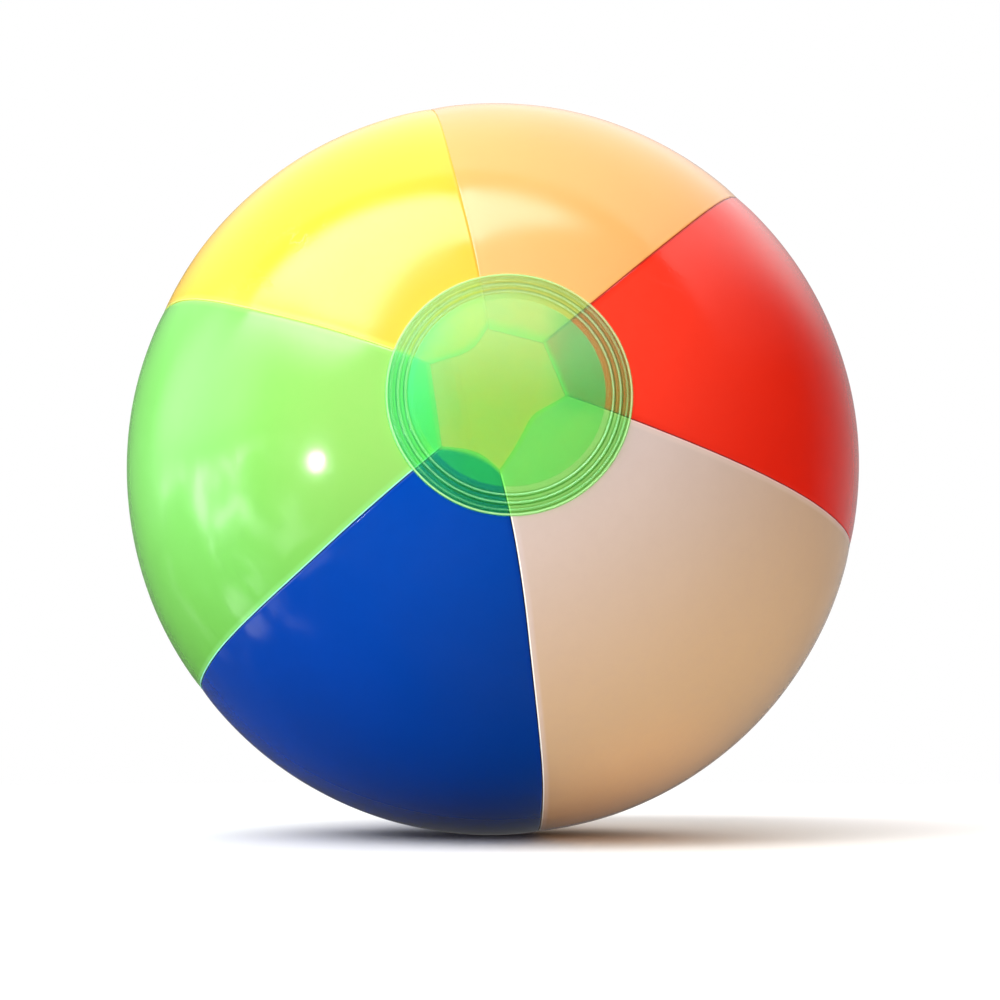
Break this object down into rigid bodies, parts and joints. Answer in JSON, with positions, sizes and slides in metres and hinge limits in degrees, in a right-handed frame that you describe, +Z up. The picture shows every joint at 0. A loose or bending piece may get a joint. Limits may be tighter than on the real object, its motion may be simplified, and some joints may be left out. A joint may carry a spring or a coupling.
{
  "type": "inflatable beach ball",
  "caption": "Inflatable vinyl beach ball of coloured panels with see-through round end caps and a push-in air valve.",
  "frame": {"origin": "centre of the ball", "axes": "+Y along the polar axis, out through the air valve; the plain cap faces -Y; +Z up, between the yellow and red panels, in the orange one"},
  "size_m": [0.2498, 0.2548, 0.2494],
  "materials": {
    "vinyl_orange": "glossy soft vinyl, pale orange",
    "vinyl_red": "glossy soft vinyl, red",
    "vinyl_white": "glossy soft vinyl, milky and slightly see-through",
    "vinyl_blue": "glossy soft vinyl, deep blue",
    "vinyl_green": "glossy soft vinyl, light green",
    "vinyl_yellow": "glossy soft vinyl, yellow",
    "cap_film": "glossy see-through green vinyl with welded rings",
    "valve_vinyl": "glossy milky soft vinyl"
  },
  "bodies": {
    "ball": {"gore_orange": "vinyl_orange", "gore_red": "vinyl_red", "gore_white": "vinyl_white", "gore_blue": "vinyl_blue", "gore_green": "vinyl_green", "gore_yellow": "vinyl_yellow", "front_cap": "cap_film", "rear_cap": "cap_film", "valve_flange": "valve_vinyl", "valve_web": "valve_vinyl"},
    "valve": {"valve_stem": "valve_vinyl"},
    "plug": {"valve_plug": "valve_vinyl", "plug_tether": "valve_vinyl"},
    "flap": {"check_flap": "valve_vinyl"}
  },
  "joints": [
    {"name": "valve_push", "type": "slide", "parent": "ball", "child": "valve", "axis": [0, 1, 0], "range_m": [0, 0.014], "deforming": ["valve_web"]},
    {"name": "plug_swing", "type": "hinge", "parent": "valve", "child": "plug", "pos_m": [0, 0.12645, -0.0075], "axis": [-1, 0, 0], "range_deg": [0, 140]},
    {"name": "flap_swing", "type": "hinge", "parent": "valve", "child": "flap", "pos_m": [0, 0.1087, 0.0052], "axis": [-1, 0, 0], "range_deg": [0, 60], "stiffness_Nm_per_rad": 0.00002}
  ]
}
